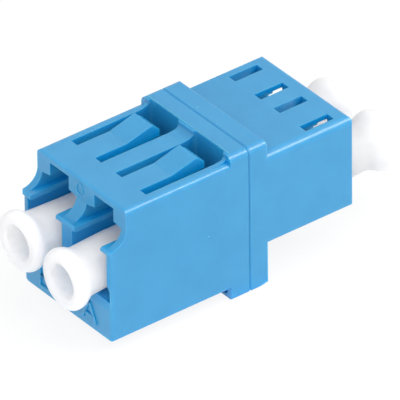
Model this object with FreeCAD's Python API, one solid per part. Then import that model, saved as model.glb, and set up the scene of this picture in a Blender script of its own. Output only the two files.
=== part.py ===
"""Two-port LC fibre adapter with its dust caps.

Two moulded housing halves meet at a seam in the middle of the flange and are welded there.
Each port runs along X: a plug goes in from either end, and its ferrule enters a split sleeve
held in the middle. The front half snaps into a panel with arms moulded in its top and bottom.

Frame: X along the ports, front at -X; Y across the pair; Z up, latches on the +Z side.
Origin: in the plane of the flange's front face, midway between the two port axes.
All sizes are in millimetres.
"""
import FreeCAD
import Part
import math
import os

V = FreeCAD.Vector

# ---------------------------------------------------------------- ports, shared by both halves
port_pitch = 6.25           # between the two port axes
port_half = 2.33            # half width of the square bore that a plug body fits
mouth_relief = 0.09         # the mouth and the room beside the latch are this much wider
mouth_drop = 0.39           # the front mouth's floor lies this far below the bore
lead_in = 2.60              # length of the lead-in taper
ledge_clear, ledge_thick = 0.07, 0.50   # ledges that hold a plug down, above the bore
ledge_gap_half = 1.83       # half the gap between a port's two ledges
latch_half = 1.33           # half width of the slot for a plug's latch arm
shoulder_slope = 0.20       # the latch shoulders' undersides fall this much outwards
roof = 0.60                 # wall over the latch slot
latch_way_r = 0.25          # rounding of the latch slot's upper corners
cove_r = 0.25               # hollow between the ledges' undersides and the bore's walls
# ---------------------------------------------------------------- housing, common
side_wall = 0.705           # outer wall beside the mouth
flange_rise_top, flange_rise_bottom = 0.78, 1.20    # flange beyond the front half's faces
flange_front_thick, flange_rear_thick = 2.05, 1.90
flange_top_r, flange_bottom_r = 0.70, 0.25      # its corners, seen along X
flange_edge_r = 0.18        # rounding of its outer top edges
seam_groove = 0.14          # chamfer on each half that makes the seam's V groove
web = 1.20                  # wall across each half at the seam
# ---------------------------------------------------------------- front half
front_len = 12.90           # flange face to the front of the walls
front_half_height = 6.42
front_top_r = 0.50          # rounding of the two long top edges
front_end_r = 0.40          # rounding of the upright front edges
plain_corner_r, index_corner_r = 0.25, 0.70     # long bottom edges on the port A and B sides
mouth_arc_r = 1.65          # quarter arc from the roof's front edge down to the ledges
roof_edge_r = 0.25          # rounding of the roof's front edge
shoulder_drop = 1.92        # underside of the front latch shoulders, below the top face
lip_out, lip_r = 0.20, 0.22     # the ledges' front lip stands forward, and its rounding
lip_depth = 0.60
floor_chamfer_x, floor_chamfer_z = 0.20, 0.66
notch_depth, notch_len = 0.38, 2.00     # relief low in each outer wall
notch_z0, notch_z1 = -1.42, -0.85
# ---------------------------------------------------------------- retention arms
window_half = 2.13
window_len = 8.35           # from the flange face forward
window_corner_r = 0.45
arm_half = 1.25
arm_thick = 0.80
arm_knee = 4.90             # from the flange face to where the ramp starts
panel_gap = 2.12            # between the barb's crest and the flange face
barb_rise = 0.72
barb_back_len, barb_back_drop = 0.17, 0.24      # steep start of the barb's rear slope
barb_r = 0.08
tongue_len = 0.72           # the slope eases off down to the arm's tip
tongue_rise = 0.09          # the tip's top edge lies this far above the body's face
bottom_pocket = 2.00        # depth of the windows in the solid floor
recess_depth, recess_rim, recess_edge = 0.25, 0.25, 0.60
recess_r = 0.45
root_len, root_rise = 1.40, 0.12    # gentle rise of the body's face towards the flange
root_r = 0.90               # hollow where it meets the flange
# ---------------------------------------------------------------- rear half
rear_len = 9.40             # flange to rear end
rear_top_drop = 0.67        # the rear half's top lies below the front half's
rear_floor_drop = 0.15      # the rear mouth's floor lies this far below the bore
rear_floor_wall = 0.87
rear_roof = 0.48            # wall over the latch slot
rear_index_r, rear_plain_r = 0.80, 0.25     # long top edges on the port A and B sides
rear_bottom_r, rear_end_r, rear_side_r = 0.25, 0.45, 0.25
rear_shoulder_drop = 2.00
catch_x0, catch_x1 = 4.90, 7.98     # catch slots, measured from the flange's rear face
catch_half_out = 2.25
flange_draft = 0.32         # the rear flange's lower edge rises this much to the back
# ---------------------------------------------------------------- sleeve and its holder
sleeve_ir, sleeve_wall = 0.625, 0.185
sleeve_len = 6.80
sleeve_slit = 0.40
sleeve_chamfer = 0.02
sleeve_clear = 0.03         # radial, to the holder bore
sleeve_end_clear = 0.05     # at each end, to the holder's lip
holder_wall = 0.61
holder_lip_cover, holder_lip_len = 0.03, 0.45   # the lip covers this much of the sleeve's end
holder_lead = 0.25
peg_r, peg_len, peg_clear, peg_z = 0.60, 0.90, 0.03, 4.30   # pegs that line the halves up
# ---------------------------------------------------------------- dust caps
cap_len = 12.20
cap_clear = 0.06            # shaft to the port's flat walls
cap_tip_taper = 0.08        # the shaft is this much smaller in radius at its tip
cap_rim_gap, cap_rim_round = 0.61, 0.45     # between the rims of a pair, and their rounding
cap_rim_back = 0.95         # from the outer face to where the rim starts to narrow
cap_neck_at = 2.10          # from the outer face to where the rim's flare meets the shaft
cap_waist_in, cap_waist_at, cap_waist_end = 0.21, 2.85, 4.20    # rear caps only
cap_rim_wall = 1.22         # rim around the outer hole
cap_hole_depth, cap_hole_draft, cap_hole_chamfer = 6.00, 0.16, 0.20
cap_pocket_wall, cap_pocket_depth, cap_pocket_draft = 0.69, 3.00, 0.10
cap_tip_chamfer = 0.30
front_cap_stand = 3.10      # rim face beyond the front walls
rear_cap_stand = 5.55       # rim face beyond the rear end

# ---------------------------------------------------------------- worked out from the above
port_y = {"a": -port_pitch / 2, "b": port_pitch / 2}
mouth_half = port_half + mouth_relief
mouth_floor = -port_half - mouth_drop
ledge_z0 = port_half + ledge_clear
ledge_z1 = ledge_z0 + ledge_thick
half_width = port_pitch / 2 + mouth_half + side_wall
flange_top = front_half_height + flange_rise_top
flange_bottom = -front_half_height - flange_rise_bottom
seam_x = flange_front_thick
flange_rear_x = seam_x + flange_rear_thick
shoulder_z = front_half_height - shoulder_drop
barb_x = -panel_gap
rear_x = flange_rear_x + rear_len
rear_top = front_half_height - rear_top_drop
rear_floor = -port_half - rear_floor_drop
rear_bottom = rear_floor - rear_floor_wall
rear_shoulder_z = rear_top - rear_shoulder_drop
sleeve_or = sleeve_ir + sleeve_wall
holder_bore_r = sleeve_or + sleeve_clear
holder_or = holder_bore_r + holder_wall
holder_lip_r = sleeve_or - holder_lip_cover
holder_end = sleeve_len / 2 + sleeve_end_clear + holder_lip_len     # from the seam
cap_shaft_r = port_half - cap_clear
cap_rim_r = (port_pitch - cap_rim_gap) / 2
EPS = 0.05                  # overrun of a cutting shape past the face it cuts


def box(x0, x1, y0, y1, z0, z1):
    return Part.makeBox(x1 - x0, y1 - y0, z1 - z0, V(x0, y0, z0))


def fillet(shape, radius, pick):
    """Round the edges that `pick` accepts."""
    return shape.makeFillet(radius, [e for e in shape.Edges if pick(e)])


def along(axis):
    """Test for a straight edge that runs along one axis."""
    def test(e):
        if len(e.Vertexes) != 2 or e.Curve.TypeId != "Part::GeomLine":
            return False
        d = e.Vertexes[1].Point - e.Vertexes[0].Point
        return abs(abs(d.dot(axis)) - d.Length) < 1e-6
    return test


def at(value, coord):
    """Test for an edge that lies at one coordinate, given as 'x', 'y' or 'z'."""
    return lambda e: all(abs(getattr(v.Point, coord) - value) < 1e-6 for v in e.Vertexes)


def both(*tests):
    return lambda e: all(test(e) for test in tests)


ALONG_X, ALONG_Y, ALONG_Z = along(V(1, 0, 0)), along(V(0, 1, 0)), along(V(0, 0, 1))


def rounded_block(x0, x1, y0, y1, z0, z1, rounds):
    """Box with groups of edges rounded, each (radius, test) by itself, so they just cross."""
    block = box(x0, x1, y0, y1, z0, z1)
    for radius, pick in rounds:
        block = block.common(fillet(box(x0, x1, y0, y1, z0, z1), radius, pick))
    return block


def prism_x(points, x0, x1):
    """Extrude an outline of (y, z) points from x0 to x1."""
    wire = Part.makePolygon([V(x0, y, z) for y, z in points + points[:1]])
    return Part.Face(wire).extrude(V(x1 - x0, 0, 0))


def prism_y(points, y0, y1):
    """Extrude an outline of (x, z) points from y0 to y1."""
    wire = Part.makePolygon([V(x, y0, z) for x, z in points + points[:1]])
    return Part.Face(wire).extrude(V(0, y1 - y0, 0))


def prism_y_edges(edges, y0, y1):
    """Extrude a closed outline of edges, drawn in the plane y = y0, to y1."""
    return Part.Face(Part.Wire(edges)).extrude(V(0, y1 - y0, 0))


def mirrored_z(shape):
    return shape.mirror(V(0, 0, 0), V(0, 0, 1))


def bore_section(x, y, half, floor):
    """Outline of a bore up to the ledges, its two upper corners hollowed."""
    top, r = ledge_z0, cove_r
    inner, mid = half - r, r * math.sqrt(0.5)

    def point(a, z):
        return V(x, y + a, z)

    corners = [point(inner, top), point(-inner, top)]
    sides = [point(half, top - r), point(-half, top - r)]
    feet = [point(half, floor), point(-half, floor)]
    mids = [point(inner + mid, top - r + mid), point(-inner - mid, top - r + mid)]
    return Part.Wire([Part.makeLine(feet[0], sides[0]),
                      Part.Arc(sides[0], mids[0], corners[0]).toShape(),
                      Part.makeLine(corners[0], corners[1]),
                      Part.Arc(corners[1], mids[1], sides[1]).toShape(),
                      Part.makeLine(sides[1], feet[1]), Part.makeLine(feet[1], feet[0])])


def lead_in_bore(x_mouth, x_inner, floor, y):
    """Bore's entrance: wider at the mouth, narrowing to the bore."""
    return Part.makeLoft([bore_section(x_mouth, y, mouth_half, floor),
                          bore_section(x_inner, y, port_half, -port_half)], True, True)


def straight_bore(x0, x1, y):
    return Part.Face(bore_section(x0, y, port_half, -port_half)).extrude(V(x1 - x0, 0, 0))


def latch_profile(shoulder, slot_top):
    """Outline above the ledges: room beside the latch, then the slot for its arm."""
    right = [(ledge_gap_half, 0), (ledge_gap_half, ledge_z1), (mouth_half, ledge_z1),
             (mouth_half, shoulder - shoulder_slope), (latch_half, shoulder),
             (latch_half, slot_top)]
    return right + [(-a, z) for a, z in reversed(right)]


def latch_way(x0, x1, y, shoulder, slot_top):
    outline = [(y + a, z) for a, z in latch_profile(shoulder, slot_top)]
    way = prism_x(outline, x0, x1)
    return fillet(way, latch_way_r, lambda e: ALONG_X(e) and at(slot_top, "z")(e))


def holder(y, way):
    """Tube for the sleeve, standing from the web; way is -1 to the front, +1 to the rear."""
    tube = Part.makeCylinder(holder_or, holder_end, V(seam_x, y, 0), V(way, 0, 0))
    tip = [e for e in tube.Edges if at(seam_x + way * holder_end, "x")(e)]
    return tube.makeChamfer(holder_lead, tip)


def holder_bore(y, way):
    """Bore for half the sleeve, with a smaller hole through the lip and a lead-in cone."""
    depth = sleeve_len / 2 + sleeve_end_clear
    axis = V(way, 0, 0)
    bore = Part.makeCylinder(holder_bore_r, depth, V(seam_x, y, 0), axis)
    lip = Part.makeCylinder(holder_lip_r, holder_end + EPS, V(seam_x, y, 0), axis)
    cone = Part.makeCone(holder_lip_r, holder_lip_r + holder_lead + EPS, holder_lead + EPS,
                         V(seam_x + way * (holder_end - holder_lead), y, 0), axis)
    return bore.fuse([lip, cone])


def flange_half(x0, x1, x_outer):
    """Flange plate with its corners and its outer top edge rounded."""
    return rounded_block(x0, x1, -half_width, half_width, flange_bottom, flange_top,
                         [(flange_top_r, both(ALONG_X, at(flange_top, "z"))),
                          (flange_bottom_r, both(ALONG_X, at(flange_bottom, "z"))),
                          (flange_edge_r, both(ALONG_Y, at(flange_top, "z"),
                                               at(x_outer, "x")))])


def groove_seam(plate):
    return plate.makeChamfer(seam_groove, [e for e in plate.Edges if at(seam_x, "x")(e)])


def arm(y):
    """Retention arm: level, then a ramp up to the barb, and a slope down to the tip."""
    top, under = front_half_height, front_half_height - arm_thick
    tip = barb_x + tongue_len
    side = [(-window_len - 0.4, top), (-arm_knee, top), (barb_x, top + barb_rise),
            (barb_x + barb_back_len, top + barb_rise - barb_back_drop),
            (tip, top + tongue_rise), (tip, under + 0.15), (-window_len - 0.4, under)]
    blade = prism_y(side, y - arm_half, y + arm_half)
    return fillet(blade, barb_r, both(ALONG_Y, at(top + barb_rise, "z")))


def window(y, depth):
    """Opening around an arm; its rear corners are rounded where it meets the flange."""
    top = front_half_height + barb_rise + 0.1
    cut = box(-window_len, recess_depth, y - window_half, y + window_half,
              front_half_height - depth, top)
    return fillet(cut, window_corner_r, lambda e: ALONG_Z(e) and at(recess_depth, "x")(e))


def flange_recess(flange_edge):
    """Shallow recess in the flange's front face, between a rim at its edge and sides."""
    half = half_width - recess_edge
    cut = box(-EPS, recess_depth, -half, half, front_half_height, flange_edge - recess_rim)
    return fillet(cut, recess_r, lambda e: ALONG_X(e) and at(flange_edge - recess_rim, "z")(e))


def root_curve():
    """Foot of the flange: the body's face rises a little, then turns up into the recess."""
    z0, wall = front_half_height, recess_depth
    slope = math.atan2(root_rise, root_len)
    low = V(wall - root_len, 0, z0)
    centre = V(wall - root_r, 0, z0 + (root_len - root_r) * math.tan(slope)
               + root_r / math.cos(slope))

    def on_arc(turn):
        return centre + V(root_r * math.sin(turn), 0, -root_r * math.cos(turn))

    start, end = on_arc(slope), on_arc(math.pi / 2)
    middle = on_arc((slope + math.pi / 2) / 2)
    corners = [end, V(wall, 0, z0 - EPS), V(low.x, 0, z0 - EPS), low, start]
    edges = [Part.Arc(start, middle, end).toShape()]
    edges += [Part.makeLine(p, q) for p, q in zip(corners, corners[1:])]
    half = half_width - recess_edge
    for edge in edges:
        edge.translate(V(0, -half, 0))
    return prism_y_edges(edges, -half, half)


def mouth_scoop():
    """What is cut from above the ledges at the mouth: a quarter arc, then straight up."""
    top, far, out = front_half_height, front_half_height + 0.5, -front_len - 1.0
    r, edge = mouth_arc_r, roof_edge_r
    face = -front_len + r
    mid, edge_mid = r * math.sqrt(0.5), edge * (1 - math.sqrt(0.5))
    y0 = -half_width - 0.5
    foot, heel = V(-front_len, y0, ledge_z1), V(face, y0, ledge_z1 + r)
    brow, crown = V(face, y0, top - edge), V(face + edge, y0, top)
    edges = [Part.Arc(foot, V(-front_len + mid, y0, ledge_z1 + r - mid), heel).toShape(),
             Part.makeLine(heel, brow),
             Part.Arc(brow, V(face + edge_mid, y0, top - edge_mid), crown).toShape()]
    points = [crown, V(face + edge, y0, far), V(out, y0, far), V(out, y0, ledge_z1), foot]
    edges += [Part.makeLine(p, q) for p, q in zip(points, points[1:])]
    return prism_y_edges(edges, y0, -y0)


def rounded_front(x_front):
    """Block as wide as the housing whose upright front edges are rounded."""
    block = box(x_front, EPS, -half_width, half_width, -front_half_height, front_half_height)
    return fillet(block, front_end_r, lambda e: ALONG_Z(e) and at(x_front, "x")(e))


def front_lips():
    """Rounded lips where the ledges reach the front of the walls and the divider."""
    inner = port_pitch / 2 + ledge_gap_half
    divider = port_pitch / 2 - ledge_gap_half
    x_front = -front_len - lip_out
    lips = []
    for y0, y1 in [(-half_width, -inner), (-divider, divider), (inner, half_width)]:
        lip = box(x_front, -front_len + lip_depth, y0, y1, ledge_z0, ledge_z1)
        lip = fillet(lip, lip_r, lambda e: ALONG_Y(e) and at(x_front, "x")(e))
        lips.append(lip.common(rounded_front(x_front)))
    return lips


def wall_notch(side):
    """Relief in the foot of an outer wall; side is -1 or +1."""
    wall = port_pitch / 2 + mouth_half
    outline = [(wall - 0.3, notch_z1), (wall, notch_z1), (wall + notch_depth, notch_z0),
               (wall + notch_depth, mouth_floor), (wall - 0.3, mouth_floor)]
    return prism_x([(side * a, z) for a, z in outline], -front_len - EPS,
                   -front_len + notch_len)


def floor_lead(y):
    """Chamfer on the front edge of a port's floor, as wide as the mouth and its notch."""
    x0, z0 = -front_len, mouth_floor
    outline = [(x0 - EPS, z0 - floor_chamfer_z), (x0, z0 - floor_chamfer_z),
               (x0 + floor_chamfer_x, z0 + EPS), (x0 - EPS, z0 + EPS)]
    outwards = -1 if y < 0 else 1
    ends = [y - outwards * mouth_half, y + outwards * (mouth_half + notch_depth)]
    return prism_y(outline, min(ends), max(ends))


def front_body():
    """Block of the front half with its edges rounded; one long edge is the index corner."""
    foot = both(ALONG_X, at(-front_half_height, "z"))
    return rounded_block(-front_len, EPS, -half_width, half_width, -front_half_height,
                         front_half_height,
                         [(front_top_r, both(ALONG_X, at(front_half_height, "z"))),
                          (plain_corner_r, both(foot, at(-half_width, "y"))),
                          (index_corner_r, both(foot, at(half_width, "y"))),
                          (front_end_r, both(ALONG_Z, at(-front_len, "x")))])


def front_housing():
    shell = front_body().cut(mouth_scoop()).fuse(groove_seam(flange_half(0, seam_x, 0)))
    shell = shell.cut([flange_recess(flange_top), mirrored_z(flange_recess(-flange_bottom))])
    shell = shell.fuse([root_curve(), mirrored_z(root_curve())])
    cuts = [wall_notch(-1), wall_notch(1)]
    cavity_end = seam_x - web
    slot_top = front_half_height - roof
    for y in port_y.values():
        cuts += [lead_in_bore(-front_len - EPS, -front_len + lead_in, mouth_floor, y),
                 straight_bore(-front_len + lead_in - EPS, cavity_end, y),
                 latch_way(-front_len - 1, -window_len + 0.3, y, shoulder_z, slot_top),
                 box(-window_len, recess_depth, y - ledge_gap_half, y + ledge_gap_half,
                     0, ledge_z1 + EPS),
                 window(y, front_half_height - ledge_z1),
                 mirrored_z(window(y, bottom_pocket)),
                 floor_lead(y)]
    shell = shell.cut(cuts).fuse(front_lips())
    extras = []
    for y in port_y.values():
        extras += [arm(y), mirrored_z(arm(y)), holder(y, -1)]
    shell = shell.fuse(extras)
    shell = shell.cut([box(-front_len - 1, -window_len - EPS, y - latch_half, y + latch_half,
                           shoulder_z, slot_top) for y in port_y.values()])
    holes = [holder_bore(y, -1) for y in port_y.values()]
    holes += [Part.makeCylinder(peg_r + peg_clear, peg_len + 0.1, V(seam_x, 0, s * peg_z),
                                V(-1, 0, 0)) for s in (-1, 1)]
    return shell.cut(holes).removeSplitter()


def rear_housing():
    top = both(ALONG_X, at(rear_top, "z"))
    body = rounded_block(flange_rear_x - EPS, rear_x, -half_width, half_width, rear_bottom,
                         rear_top,
                         [(rear_index_r, both(top, at(-half_width, "y"))),
                          (rear_plain_r, both(top, at(half_width, "y"))),
                          (rear_bottom_r, both(ALONG_X, at(rear_bottom, "z"))),
                          (rear_side_r, both(ALONG_Z, at(rear_x, "x"))),
                          (rear_end_r, both(ALONG_Y, at(rear_top, "z"), at(rear_x, "x")))])
    plate = flange_half(seam_x, flange_rear_x, flange_rear_x)
    draft = prism_y([(seam_x + 0.25, flange_bottom - EPS), (flange_rear_x + EPS,
                     flange_bottom - EPS), (flange_rear_x + EPS, flange_bottom + flange_draft)],
                    -half_width - 1, half_width + 1)
    shell = body.fuse(groove_seam(plate).cut(draft))
    cuts = []
    cavity_start = seam_x + web
    slot_top = rear_top - rear_roof
    for y in port_y.values():
        cuts += [lead_in_bore(rear_x + EPS, rear_x - lead_in, rear_floor, y),
                 straight_bore(cavity_start, rear_x - lead_in + EPS, y),
                 box(flange_rear_x, rear_x, y - ledge_gap_half, y + ledge_gap_half, 0,
                     ledge_z1 + EPS),
                 latch_way(flange_rear_x + catch_x0, rear_x + 1, y, rear_shoulder_z,
                           slot_top),
                 box(flange_rear_x + catch_x0, flange_rear_x + catch_x1,
                     y - catch_half_out, y + catch_half_out, ledge_z1, slot_top)]
        for side in (-1, 1):
            inner, outer = y + side * latch_half, y + side * catch_half_out
            cuts.append(box(flange_rear_x + catch_x0, flange_rear_x + catch_x1,
                            min(inner, outer), max(inner, outer), ledge_z1, rear_top + 1))
    shell = shell.cut(cuts)
    pegs = [Part.makeCylinder(peg_r, peg_len, V(seam_x, 0, s * peg_z), V(-1, 0, 0))
            for s in (-1, 1)]
    shell = shell.fuse([holder(y, 1) for y in port_y.values()] + pegs)
    return shell.cut([holder_bore(y, 1) for y in port_y.values()]).removeSplitter()


def alignment_sleeve(y):
    """Split ceramic sleeve, centred on the seam, its slit upwards."""
    x0 = seam_x - sleeve_len / 2
    tube = Part.makeCylinder(sleeve_or, sleeve_len, V(x0, y, 0), V(1, 0, 0))
    tube = tube.makeChamfer(sleeve_chamfer, [e for e in tube.Edges if e.Curve.TypeId ==
                                   "Part::GeomCircle"])
    bore = Part.makeCylinder(sleeve_ir, sleeve_len + 1, V(x0 - 0.5, y, 0), V(1, 0, 0))
    slit = box(x0 - 0.5, x0 + sleeve_len + 0.5, y - sleeve_slit / 2, y + sleeve_slit / 2,
               0, sleeve_or + 0.5)
    return tube.cut([bore, slit])


def ogee(start, end):
    """Two equal arcs between (x, r) points that leave and arrive along X."""
    (x0, r0), (x1, r1) = start, end
    span, step = x1 - x0, r1 - r0
    mid = (x0 + span / 2, r0 + step / 2)
    radius = (span ** 2 + step ** 2) / (4 * abs(step))
    half_turn = math.atan2(abs(step), span)
    along_x, across = radius * math.sin(half_turn), radius * (1 - math.cos(half_turn))
    sign = 1 if step > 0 else -1
    first = (x0 + along_x, r0 + sign * across)
    last = (x1 - along_x, r1 - sign * across)
    return [Part.Arc(on_x(*start), on_x(*first), on_x(*mid)).toShape(),
            Part.Arc(on_x(*mid), on_x(*last), on_x(*end)).toShape()]


def on_x(x, r):
    """Point of a profile that is turned about the X axis."""
    return V(x, 0, r)


def chain(points):
    return [Part.makeLine(on_x(*p), on_x(*q)) for p, q in zip(points, points[1:])]


def dust_cap(waisted):
    """Cap along +X from its outer face at x = 0: rim, shaft, outer hole, inner pocket."""
    rim = cap_rim_r
    tip = cap_shaft_r - cap_tip_taper
    hole, pocket = rim - cap_rim_wall, tip - cap_pocket_wall
    hole_end = hole - cap_hole_draft
    pocket_start = cap_len - cap_pocket_depth
    corner = cap_rim_round * (1 - math.sqrt(0.5))
    rim_front, rim_back = (cap_rim_round, rim), (cap_rim_back, rim)
    face_edge = (0, rim - cap_rim_round)
    edges = chain([(pocket_start, 0), (cap_hole_depth, 0), (cap_hole_depth, hole_end),
                   (cap_hole_chamfer, hole), (0, hole + cap_hole_chamfer), face_edge])
    edges.append(Part.Arc(on_x(*face_edge), on_x(corner, rim - corner),
                          on_x(*rim_front)).toShape())
    edges += chain([rim_front, rim_back])
    if waisted:
        waist = (cap_waist_at, cap_shaft_r - cap_waist_in)
        neck = (cap_waist_end, cap_shaft_r)
        edges += ogee(rim_back, waist) + ogee(waist, neck)
    else:
        neck = (cap_neck_at, cap_shaft_r)
        edges += ogee(rim_back, neck)
    edges += chain([neck, (cap_len - cap_tip_chamfer, tip), (cap_len, tip - cap_tip_chamfer),
                    (cap_len, pocket), (pocket_start, pocket - cap_pocket_draft),
                    (pocket_start, 0)])
    return Part.Face(Part.Wire(edges)).revolve(V(0, 0, 0), V(1, 0, 0), 360)


def front_cap(y):
    cap = dust_cap(False)
    cap.translate(V(-front_len - front_cap_stand, y, 0))
    return cap


def rear_cap(y):
    cap = dust_cap(True)
    cap.rotate(V(0, 0, 0), V(0, 0, 1), 180)
    cap.translate(V(rear_x + rear_cap_stand, y, 0))
    return cap


def main():
    os.makedirs("parts", exist_ok=True)
    parts = {"front_housing": front_housing(), "rear_housing": rear_housing()}
    for port, y in port_y.items():
        parts["alignment_sleeve_" + port] = alignment_sleeve(y)
        parts["dust_cap_front_" + port] = front_cap(y)
        parts["dust_cap_rear_" + port] = rear_cap(y)
    for name, shape in parts.items():
        solid = shape.Solids[0] if len(shape.Solids) == 1 else shape
        solid.exportStep("parts/" + name + ".step")
        print(name, "solids", len(shape.Solids), "valid", shape.isValid(),
              "volume %.2f" % shape.Volume)


main()
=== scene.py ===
"""Two-port LC fibre adapter in a white studio.

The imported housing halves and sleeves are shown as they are. Added here: finely turned dust
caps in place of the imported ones, the raised port letters, a small ring between the ports, the
finishes, and the camera, floor and lamps. Everything is in metres, in the adapter's own frame:
X along the ports (front at -X), Y across the pair, Z up, origin in the flange's front face.
"""
import math

import bmesh
import bpy
import numpy as np
from mathutils import Matrix, Vector


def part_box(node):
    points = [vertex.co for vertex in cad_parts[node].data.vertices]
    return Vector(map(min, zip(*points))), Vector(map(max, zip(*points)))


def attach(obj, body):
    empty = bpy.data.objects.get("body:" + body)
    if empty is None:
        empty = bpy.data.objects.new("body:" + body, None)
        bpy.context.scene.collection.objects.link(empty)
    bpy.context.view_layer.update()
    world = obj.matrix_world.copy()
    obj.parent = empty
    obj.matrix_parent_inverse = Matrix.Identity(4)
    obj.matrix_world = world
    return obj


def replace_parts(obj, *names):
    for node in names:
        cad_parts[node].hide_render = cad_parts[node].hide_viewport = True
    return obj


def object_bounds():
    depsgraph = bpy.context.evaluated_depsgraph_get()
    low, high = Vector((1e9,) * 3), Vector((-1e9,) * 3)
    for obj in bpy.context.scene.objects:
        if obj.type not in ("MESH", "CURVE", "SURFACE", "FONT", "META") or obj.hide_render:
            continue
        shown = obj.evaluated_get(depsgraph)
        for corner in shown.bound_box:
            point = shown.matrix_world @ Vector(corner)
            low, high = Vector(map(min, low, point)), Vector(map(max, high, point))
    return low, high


MM = 0.001
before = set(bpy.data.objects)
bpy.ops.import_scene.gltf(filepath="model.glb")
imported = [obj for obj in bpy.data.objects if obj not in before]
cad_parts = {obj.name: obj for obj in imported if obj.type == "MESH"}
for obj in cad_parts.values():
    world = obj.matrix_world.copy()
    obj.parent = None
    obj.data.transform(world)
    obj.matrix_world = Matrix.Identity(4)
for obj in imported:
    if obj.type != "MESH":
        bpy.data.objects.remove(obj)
cad_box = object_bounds()


# ---------------------------------------------------------------- surfaces

SAME_POINT = 1e-7       # points nearer than this are one
LINE_DECIMALS = 9       # places along a line are told apart to this many decimals of a metre
CREASE = 60             # degrees: sharper edges stay crisp


def grid_mesh(name, points, closed_u=False, closed_v=False):
    """Piece from a grid of points (rows u, columns v, xyz): one quad between each four
    neighbours, with the last row or column joined to the first where it is closed."""
    rows, cols = points.shape[:2]
    u = np.arange(rows if closed_u else rows - 1)
    v = np.arange(cols if closed_v else cols - 1)
    u, v = np.meshgrid(u, v, indexing="ij")
    u2, v2 = (u + 1) % rows, (v + 1) % cols
    quads = np.stack([u * cols + v, u2 * cols + v, u2 * cols + v2, u * cols + v2], axis=-1)
    mesh = bpy.data.meshes.new(name)
    mesh.from_pydata(points.reshape(-1, 3).tolist(), [], quads.reshape(-1, 4).tolist())
    piece = bpy.data.objects.new(name, mesh)
    bpy.context.scene.collection.objects.link(piece)
    return piece


def close_poles(piece):
    """Merge the points that fall together where a surface runs to a point."""
    work = bmesh.new()
    work.from_mesh(piece.data)
    bmesh.ops.remove_doubles(work, verts=work.verts, dist=SAME_POINT)
    work.to_mesh(piece.data)
    work.free()
    return piece


def smooth(piece):
    """Shade smoothly, and keep edges sharper than CREASE crisp."""
    piece.data.polygons.foreach_set("use_smooth", np.ones(len(piece.data.polygons), bool))
    piece.data.set_sharp_from_angle(angle=math.radians(CREASE))
    return piece


def softened(corners, steps=10):
    """Outline through corners (x, r, cut): each corner is cut back by its last number on both
    sides and bridged by a parabola, (1-t)^2 start + 2t(1-t) corner + t^2 end."""
    t = np.linspace(0, 1, steps)[:, None]
    line = [np.array([corners[0][:2]])]
    for before, here, after in zip(corners, corners[1:], corners[2:]):
        p, a, b = (np.array(c[:2]) for c in (here, before, after))
        start = p + (a - p) / np.linalg.norm(a - p) * here[2]
        end = p + (b - p) / np.linalg.norm(b - p) * here[2]
        line.append((1 - t) ** 2 * start + 2 * t * (1 - t) * p + t ** 2 * end)
    return np.concatenate(line + [np.array([corners[-1][:2]])])


def respaced(line, step):
    """The same line with points added so that none are further apart than the step."""
    run = np.concatenate([[0], np.cumsum(np.linalg.norm(np.diff(line, axis=0), axis=1))])
    kept = np.concatenate([[True], np.diff(run) > 10 ** -LINE_DECIMALS])
    run, line = run[kept], line[kept]
    even = np.linspace(0, run[-1], int(run[-1] / step) + 2)
    places = np.unique(np.concatenate([run, even]).round(LINE_DECIMALS))
    return np.stack([np.interp(places, run, line[:, i]) for i in range(line.shape[1])], axis=1)


# ---------------------------------------------------------------- dust caps

RIM_WALL, RIM_BACK = 1.25 * MM, 0.95 * MM       # the flared rim's wall, and how far it reaches
RIM_CUT, RIM_BACK_CUT = 0.62 * MM, 0.32 * MM    # each _CUT: how far its corner is cut back
HOLE_DEPTH, HOLE_DRAFT = 6.0 * MM, 0.16 * MM
HOLE_CUT, HOLE_FLOOR_CUT = 0.45 * MM, 0.3 * MM
SHAFT_R, TIP_R, TIP_CUT = 2.27 * MM, 2.19 * MM, 0.3 * MM
NECK, NECK_CUT = 1.85 * MM, 0.42 * MM           # front caps: straight shaft behind the rim
WAIST, WAIST_IN, WAIST_CUT = 2.55 * MM, 0.21 * MM, 0.8 * MM     # rear caps: drawn in behind it
WAIST_END, WAIST_END_CUT = 4.20 * MM, 0.6 * MM
POCKET_R, POCKET_DEPTH, POCKET_DRAFT = 1.50 * MM, 3.0 * MM, 0.1 * MM
POCKET_CUT, POCKET_FLOOR_CUT = 0.1 * MM, 0.2 * MM
OUTLINE_STEP, CAP_SIDES = 0.3 * MM, 96
SAG_POWER = 1.15        # how the soft cap bends: 1 would tilt it straight


def cap_outline(rim, length, waisted):
    """Half section of a cap, (distance from the outer face, radius): from the middle of the
    hole's floor, over the rim and along the shaft, into the pocket at the tip."""
    hole, pocket_floor = rim - RIM_WALL, length - POCKET_DEPTH
    front = [(HOLE_DEPTH, 0, 0), (HOLE_DEPTH, hole - HOLE_DRAFT, HOLE_FLOOR_CUT),
             (0, hole, HOLE_CUT), (0, rim, RIM_CUT), (RIM_BACK, rim, RIM_BACK_CUT)]
    if waisted:
        shaft = [(WAIST, SHAFT_R - WAIST_IN, WAIST_CUT), (WAIST_END, SHAFT_R, WAIST_END_CUT)]
    else:
        shaft = [(NECK, SHAFT_R, NECK_CUT)]
    tip = [(length, TIP_R, TIP_CUT), (length, POCKET_R, POCKET_CUT),
           (pocket_floor, POCKET_R - POCKET_DRAFT, POCKET_FLOOR_CUT), (pocket_floor, 0, 0)]
    return respaced(softened(front + shaft + tip), OUTLINE_STEP)


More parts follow.
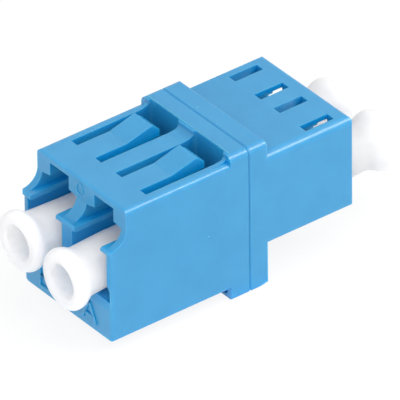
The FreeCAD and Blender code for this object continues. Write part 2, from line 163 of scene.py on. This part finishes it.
def turned_cap(node, way, pivot, droop, waisted):
    """Soft cap turned on its lathe line: every outline point (d, r) runs round as
    (face + way d, y + r cos a, z + r sin a), and z shifts by droop t^SAG_POWER, where t runs
    from 0 at the pivot, where the port stops holding the cap, to 1 at its face."""
    low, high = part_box(node)
    rim, y = (high.y - low.y) / 2, (high.y + low.y) / 2
    face = low.x if way > 0 else high.x
    depth, radius = cap_outline(rim, high.x - low.x, waisted).T
    x = face + way * depth
    hang = np.clip((pivot - x) / (pivot - face), 0, 1) ** SAG_POWER * droop
    turn = np.linspace(0, 2 * math.pi, CAP_SIDES, endpoint=False) * way
    around = [np.broadcast_to(x[:, None], (len(x), len(turn))),
              y + radius[:, None] * np.cos(turn), hang[:, None] + radius[:, None] * np.sin(turn)]
    cap = grid_mesh(node + "_turned", np.stack(around, axis=-1), closed_v=True)
    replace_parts(smooth(close_poles(cap)), node)
    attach(cap, node.replace("dust_cap", "cap"))
    return cap


# ---------------------------------------------------------------- raised port letters

STROKE, RAISED = 0.28 * MM, 0.18 * MM       # width and height of a letter's rib
PATH_STEP, RIB_SIDES = 0.05 * MM, 20
OVAL_POWER = 0.7        # section of a rib: 1 is a plain oval, less is squarer
A_BAR = 0.34            # height of the A's bar, as a share of the letter's
B_WAIST, B_TOP_REACH = 0.53, 0.85   # height of the B's waist, and its top bow to its lower one


def arc_path(centre, radii, start, end, steps=24):
    """Points (y, z) on part of an ellipse: centre + radii times (cos, sin) of the angle."""
    turn = np.radians(np.linspace(start, end, steps))
    return np.stack([centre[0] + radii[0] * np.cos(turn), centre[1] + radii[1] * np.sin(turn)],
                    axis=1)


def raised_stroke(name, path, wall, stroke=STROKE, raised=RAISED, closed=False):
    """Rib on a wall that faces -X, carried along the path. At angle a its section reaches half
    the stroke times |cos a|^OVAL_POWER across the path, and `raised` times |sin a|^OVAL_POWER
    out of the wall or into it. Both shrink as sqrt(1 - (1 - s)^2), where s runs from 1 to 0
    over the last half stroke before an open end."""
    path = np.asarray(path, float)
    if not closed:
        path = respaced(path, PATH_STEP)
    ahead = np.gradient(path, axis=0)
    if closed:
        ahead = (np.roll(path, -1, axis=0) - np.roll(path, 1, axis=0)) / 2
    ahead /= np.linalg.norm(ahead, axis=1)[:, None]
    run = np.concatenate([[0], np.cumsum(np.linalg.norm(np.diff(path, axis=0), axis=1))])
    near_end = np.clip(np.minimum(run, run[-1] - run) / (stroke / 2), 0, 1)
    size = np.ones(len(path)) if closed else np.sqrt(1 - (1 - near_end) ** 2)
    a = np.linspace(0, 2 * math.pi, RIB_SIDES, endpoint=False)
    across = np.sign(np.cos(a)) * np.abs(np.cos(a)) ** OVAL_POWER * stroke / 2
    out = np.sign(np.sin(a)) * np.abs(np.sin(a)) ** OVAL_POWER * raised
    y = path[:, :1] - ahead[:, 1:] * across * size[:, None]
    z = path[:, 1:] + ahead[:, :1] * across * size[:, None]
    x = wall - out * size[:, None]
    rib = grid_mesh(name, np.stack([x, y, z], axis=-1), closed_u=closed, closed_v=True)
    return close_poles(rib)


def joined(name, ribs):
    """One piece from several ribs."""
    work = bmesh.new()
    for rib in ribs:
        work.from_mesh(rib.data)
        bpy.data.objects.remove(rib)
    bmesh.ops.recalc_face_normals(work, faces=work.faces)
    mesh = bpy.data.meshes.new(name)
    work.to_mesh(mesh)
    work.free()
    piece = bpy.data.objects.new(name, mesh)
    bpy.context.scene.collection.objects.link(piece)
    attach(smooth(piece), "adapter")
    return piece


def gate_ring(wall, centre, radii, stroke, raised, points=36):
    """A closed oval rib."""
    oval = arc_path(centre, radii, 0, 360 - 360 / points, points)
    return joined("gate_ring", [raised_stroke("ring", oval, wall, stroke, raised, closed=True)])


def letter_a(wall, middle, top, foot, half):
    """Two legs from a peak and a bar across them."""
    bar = foot + (top - foot) * A_BAR
    reach = half * (top - bar) / (top - foot)
    lines = [[(middle, top), (middle + half, foot)], [(middle, top), (middle - half, foot)],
             [(middle + reach, bar), (middle - reach, bar)]]
    return joined("port_letter_a", [raised_stroke("leg", line, wall) for line in lines])


def letter_b(wall, spine, top, foot, reach):
    """A spine and two bows; the bows lie on the -Y side, the right as seen from the front."""
    waist = foot + (top - foot) * B_WAIST
    ribs = [raised_stroke("spine", [(spine, top), (spine, foot)], wall)]
    for high, low, wide in ((top, waist, B_TOP_REACH * reach), (waist, foot, reach)):
        r = (high - low) / 2
        bow = arc_path((spine - wide + r, high - r), (r, r), 90, 270)
        line = np.concatenate([[(spine, high)], bow, [(spine, low)]])
        ribs.append(raised_stroke("bow", line, wall))
    return joined("port_letter_b", ribs)


# ---------------------------------------------------------------- finishes

MIX_FIRST, MIX_SECOND, MIX_RESULT = 6, 7, 2     # a Mix node's colour sockets share their names
AO_SAMPLES = 8
CLOUDS = (0.35, 0.65)       # the part of a noise's range that its clouds fill
RIPPLES = (0.3, 0.7)
WHOLE = (0, 1)
EVEN = (1.0, 1.0, 1.0)      # light goes as far inside in each colour


class Finish:
    """A material with one Principled shader, and short helpers for what feeds it."""

    def __init__(self, name):
        self.material = bpy.data.materials.new(name)
        self.material.use_nodes = True
        tree = self.material.node_tree
        self.nodes, self.links = tree.nodes, tree.links
        self.shader = self.nodes["Principled BSDF"]
        self.place = self.nodes.new("ShaderNodeTexCoord").outputs["Object"]

    def set(self, **values):
        for socket, value in values.items():
            self.shader.inputs[socket.replace("_", " ")].default_value = value

    def noise(self, size, detail=2.0, rough=0.5):
        """Cloudy pattern with features of about the given size."""
        node = self.nodes.new("ShaderNodeTexNoise")
        node.inputs["Scale"].default_value = 1 / size
        node.inputs["Detail"].default_value = detail
        node.inputs["Roughness"].default_value = rough
        self.links.new(self.place, node.inputs["Vector"])
        return node.outputs["Fac"]

    def specks(self, apart, size):
        """1 on small round specks, one in each cell of the given width, and 0 between them."""
        node = self.nodes.new("ShaderNodeTexVoronoi")
        node.inputs["Scale"].default_value = 1 / apart
        self.links.new(self.place, node.inputs["Vector"])
        edge = size / apart
        return self.between(node.outputs["Distance"], (edge, 0.6 * edge), (0, 1))

    def between(self, value, span, result):
        """Straight-line map that takes the span's two ends to the result's, and stops there."""
        node = self.nodes.new("ShaderNodeMapRange")
        self.links.new(value, node.inputs["Value"])
        for socket, number in zip(("From Min", "From Max", "To Min", "To Max"), span + result):
            node.inputs[socket].default_value = number
        return node.outputs["Result"]

    def mix(self, amount, first, second):
        """(1 - amount) first + amount second, each a colour or another node's output."""
        node = self.nodes.new("ShaderNodeMix")
        node.data_type = "RGBA"
        self.links.new(amount, node.inputs["Factor"])
        for socket, colour in ((MIX_FIRST, first), (MIX_SECOND, second)):
            if isinstance(colour, tuple):
                node.inputs[socket].default_value = colour
            else:
                self.links.new(colour, node.inputs[socket])
        return node.outputs[MIX_RESULT]

    def bump(self, height, distance, strength):
        """Normal of a surface raised by height x distance, at the given strength."""
        node = self.nodes.new("ShaderNodeBump")
        node.inputs["Strength"].default_value = strength
        node.inputs["Distance"].default_value = distance
        self.links.new(height, node.inputs["Height"])
        return node.outputs["Normal"]

    def openness(self, reach):
        """Ambient occlusion: 1 on open faces, towards 0 in hollows narrower than the reach; the
        finishes paint their hollow light and shade from it.
        """
        node = self.nodes.new("ShaderNodeAmbientOcclusion")
        node.samples = AO_SAMPLES
        node.inputs["Distance"].default_value = reach
        return node.outputs["AO"]

    def feed(self, socket, output):
        self.links.new(output, self.shader.inputs[socket])


def moulded_blue():
    """Satin blue thermoplastic: fine spark-eroded grain, cloudy flow, painted shade in hollows
    (a deeper, more vivid blue where less light reaches), a few dust specks, soft light inside."""
    cloud_dark, cloud_light = (0.018, 0.252, 0.492, 1), (0.023, 0.272, 0.520, 1)
    grain_light, speck = (0.050, 0.330, 0.590, 1), (0.40, 0.62, 0.82, 1)
    # painted shade: the colour given to hollows, where less light reaches
    painted_hollow_shading = (0.0, 0.285, 0.640, 1)
    f = Finish("moulded_blue")
    tone = f.mix(f.between(f.noise(3.2 * MM, 3), CLOUDS, WHOLE), cloud_dark, cloud_light)
    grain = f.noise(0.12 * MM, 3, 0.6)
    tone = f.mix(f.between(grain, CLOUDS, (0, 0.16)), tone, grain_light)
    # painted shade: ambient occlusion blends hollows towards the deeper, more vivid blue
    tone = f.mix(f.between(f.openness(3 * MM), (0.30, 0.80), WHOLE), painted_hollow_shading, tone)
    f.feed("Base Color", f.mix(f.specks(2.6 * MM, 0.07 * MM), tone, speck))
    f.feed("Roughness", f.between(f.noise(0.5 * MM, 4), RIPPLES, (0.28, 0.38)))
    f.feed("Normal", f.bump(grain, 0.002 * MM, 0.5))
    f.set(Subsurface_Weight=0.55, Subsurface_Radius=EVEN, Subsurface_Scale=0.9 * MM, IOR=1.62)
    return f.material


def cap_white():
    """Soft white polyethylene: waxy, faintly rippled, painted light in hollows (whiter where
    shade would fall), light passes well into it."""
    cloud_dark, cloud_light = (0.70, 0.692, 0.705, 1), (0.72, 0.712, 0.722, 1)
    # painted light: the whiter colour given to hollows, where shade would fall
    painted_hollow_shading = (0.99, 0.98, 0.995, 1)
    f = Finish("cap_white")
    tone = f.mix(f.between(f.noise(2.5 * MM, 2), CLOUDS, WHOLE), cloud_dark, cloud_light)
    # painted light: ambient occlusion blends hollows towards the whiter colour
    f.feed("Base Color", f.mix(f.between(f.openness(4 * MM), (0.20, 0.60), WHOLE), painted_hollow_shading, tone))
    f.feed("Roughness", f.between(f.noise(0.6 * MM, 3), RIPPLES, (0.40, 0.52)))
    f.feed("Normal", f.bump(f.noise(0.35 * MM, 2), 0.003 * MM, 0.6))
    f.set(Subsurface_Weight=1.0, Subsurface_Radius=EVEN, Subsurface_Scale=5.0 * MM, IOR=1.5)
    return f.material


def zirconia():
    """Ground white ceramic with a polished sheen and faint rings along its length."""
    cloud_dark, cloud_light = (0.86, 0.86, 0.82, 1), (0.91, 0.91, 0.88, 1)
    f = Finish("zirconia")
    rings = f.nodes.new("ShaderNodeTexWave")
    rings.bands_direction = "X"
    rings.inputs["Scale"].default_value = 1 / (0.12 * MM)
    rings.inputs["Distortion"].default_value = 1.5
    f.links.new(f.place, rings.inputs["Vector"])
    f.feed("Base Color", f.mix(f.noise(1.5 * MM), cloud_dark, cloud_light))
    f.feed("Roughness", f.between(rings.outputs["Fac"], WHOLE, (0.18, 0.26)))
    f.feed("Normal", f.bump(rings.outputs["Fac"], 0.001 * MM, 0.4))
    f.set(IOR=2.1)
    return f.material


# ---------------------------------------------------------------- the adapter

def cover(piece, material):
    """Give the piece this one finish."""
    piece.data.materials.clear()
    piece.data.materials.append(material)
    return piece


BLUE, WHITE, CERAMIC = moulded_blue(), cap_white(), zirconia()
for name in ("front_housing", "rear_housing"):
    cover(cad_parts[name], BLUE)
for port in "ab":
    cover(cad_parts["alignment_sleeve_" + port], CERAMIC)

FRONT_PIVOT, REAR_PIVOT = -10.3 * MM, 10.75 * MM      # where the bores become narrow
FACE_SHIFT = {"a": (-0.45 * MM, -0.40 * MM),    # how far each cap's face stands above its port:
              "b": (0.20 * MM, -0.30 * MM)}     # front cap, rear cap
for port, (front_shift, rear_shift) in FACE_SHIFT.items():
    front, rear = "dust_cap_front_" + port, "dust_cap_rear_" + port
    cover(turned_cap(front, 1, FRONT_PIVOT, front_shift, waisted=False), WHITE)
    cover(turned_cap(rear, -1, REAR_PIVOT, rear_shift, waisted=True), WHITE)

FRONT_WALL, RING_WALL = -12.9 * MM, -11.25 * MM     # what the letters and the ring stand on
LETTER_TOP, LETTER_FOOT = -3.75 * MM, -5.80 * MM
A_MIDDLE, A_HALF = -3.06 * MM, 0.98 * MM
B_SPINE, B_REACH = 3.85 * MM, 1.50 * MM
RING_CENTRE, RING_RADII = (0.2 * MM, 5.35 * MM), (0.42 * MM, 0.58 * MM)
RING_STROKE, RING_RAISED = 0.16 * MM, 0.09 * MM
cover(letter_a(FRONT_WALL, A_MIDDLE, LETTER_TOP, LETTER_FOOT, A_HALF), BLUE)
cover(gate_ring(RING_WALL, RING_CENTRE, RING_RADII, RING_STROKE, RING_RAISED), BLUE)
cover(letter_b(FRONT_WALL, B_SPINE, LETTER_TOP, LETTER_FOOT, B_REACH), BLUE)


# ---------------------------------------------------------------- studio

FLOOR_Z = cad_box[0][2] - 0.02 * MM     # just clear of the flange's foot
FLOOR_HALF = 2.0
FLOOR_WHITE, SKY_WHITE = 0.88, 1.0      # share of plain white that the camera sees in each
SKY_STRENGTH = 0.52
TARGET = Vector((0.5812, -1.1392, -0.125)) * MM
AZIMUTH, ELEVATION, ROLL = -37.454, 34.305, -0.717
DISTANCE = 948.1 * MM
LENS, SENSOR = 993.0, 36        # millimetres
NEAR, FAR = 0.05, 20            # what the camera sees lies between these
LAMP_DISTANCE = 0.4
LAMPS = (               # name, direction from the adapter, watts, width
    ("key", (0.05, -0.30, 0.95), 0.85, 0.30),
    ("edge", (0.50, -0.56, 0.65), 0.50, 0.095),
    ("front", (-0.76, -0.50, 0.42), 0.95, 0.40))


def towards_camera():
    """Unit vector (sin A cos E, -cos A cos E, sin E) for azimuth A and elevation E."""
    a, e = math.radians(AZIMUTH), math.radians(ELEVATION)
    return Vector((math.sin(a) * math.cos(e), -math.cos(a) * math.cos(e), math.sin(e)))


def add_camera():
    """Long lens that looks at the target, turned by ROLL about its own line of sight."""
    back = towards_camera()
    right = Vector((0, 0, 1)).cross(back).normalized()
    turn = Matrix.Rotation(math.radians(ROLL), 3, back)
    right, up = turn @ right, turn @ back.cross(right)
    camera = bpy.data.objects.new("camera", bpy.data.cameras.new("camera"))
    camera.matrix_world = Matrix.Translation(TARGET + back * DISTANCE) @ Matrix(
        (right, up, back)).transposed().to_4x4()
    camera.data.lens, camera.data.sensor_width = LENS, SENSOR
    camera.data.clip_start, camera.data.clip_end = NEAR, FAR
    camera.data.dof.use_dof = False
    bpy.context.scene.collection.objects.link(camera)
    bpy.context.scene.camera = camera


def add_lamp(name, direction, power, size):
    """Square soft box that faces the adapter from the given direction."""
    lamp = bpy.data.lights.new(name, "AREA")
    lamp.energy, lamp.size = power, size
    holder = bpy.data.objects.new(name, lamp)
    way = Vector(direction).normalized()
    holder.location = way * LAMP_DISTANCE
    holder.rotation_euler = way.to_track_quat("Z", "Y").to_euler()
    bpy.context.scene.collection.objects.link(holder)


def white_to_viewer(tree, under, share):
    """What the camera, gloss and clear matter see is share x plain white + (1 - share) x the
    surface under it. All other light meets only the surface under it."""
    nodes, links = tree.nodes, tree.links
    rays = nodes.new("ShaderNodeLightPath")
    seen = nodes.new("ShaderNodeMath")
    seen.operation = "MAXIMUM"
    links.new(rays.outputs["Is Camera Ray"], seen.inputs[0])
    other = nodes.new("ShaderNodeMath")
    other.operation = "MAXIMUM"
    links.new(rays.outputs["Is Glossy Ray"], other.inputs[0])
    links.new(rays.outputs["Is Transmission Ray"], other.inputs[1])
    links.new(other.outputs[0], seen.inputs[1])
    amount = nodes.new("ShaderNodeMath")
    amount.operation = "MULTIPLY"
    amount.inputs[1].default_value = share
    links.new(seen.outputs[0], amount.inputs[0])
    white = nodes.new("ShaderNodeEmission")
    white.inputs["Strength"].default_value = 1.0
    blend = nodes.new("ShaderNodeMixShader")
    links.new(amount.outputs[0], blend.inputs[0])
    links.new(under, blend.inputs[1])
    links.new(white.outputs[0], blend.inputs[2])
    return blend.outputs[0]


def add_floor():
    """Level white floor under the flange."""
    line = np.linspace(-FLOOR_HALF, FLOOR_HALF, 3)
    u, v = np.meshgrid(line, line, indexing="ij")
    floor = grid_mesh("studio_floor", np.stack([u, v, np.full_like(u, FLOOR_Z)], axis=-1))
    material = bpy.data.materials.new("studio_floor")
    material.use_nodes = True
    tree = material.node_tree
    shader, out = tree.nodes["Principled BSDF"], tree.nodes["Material Output"]
    shader.inputs["Base Color"].default_value = (0.95, 0.95, 0.95, 1)
    shader.inputs["Roughness"].default_value = 0.9
    tree.links.new(white_to_viewer(tree, shader.outputs[0], FLOOR_WHITE), out.inputs["Surface"])
    cover(floor, material)


def add_world():
    """Even white light from all round."""
    world = bpy.data.worlds.new("studio")
    world.use_nodes = True
    tree = world.node_tree
    sky = tree.nodes["Background"]
    sky.inputs["Color"].default_value = (1, 1, 1, 1)
    sky.inputs["Strength"].default_value = SKY_STRENGTH
    tree.links.new(white_to_viewer(tree, sky.outputs[0], SKY_WHITE),
                   tree.nodes["World Output"].inputs["Surface"])
    bpy.context.scene.world = world


add_camera()
add_floor()
add_world()
for lamp in LAMPS:
    add_lamp(*lamp)
bpy.context.scene.view_settings.view_transform = "Standard"
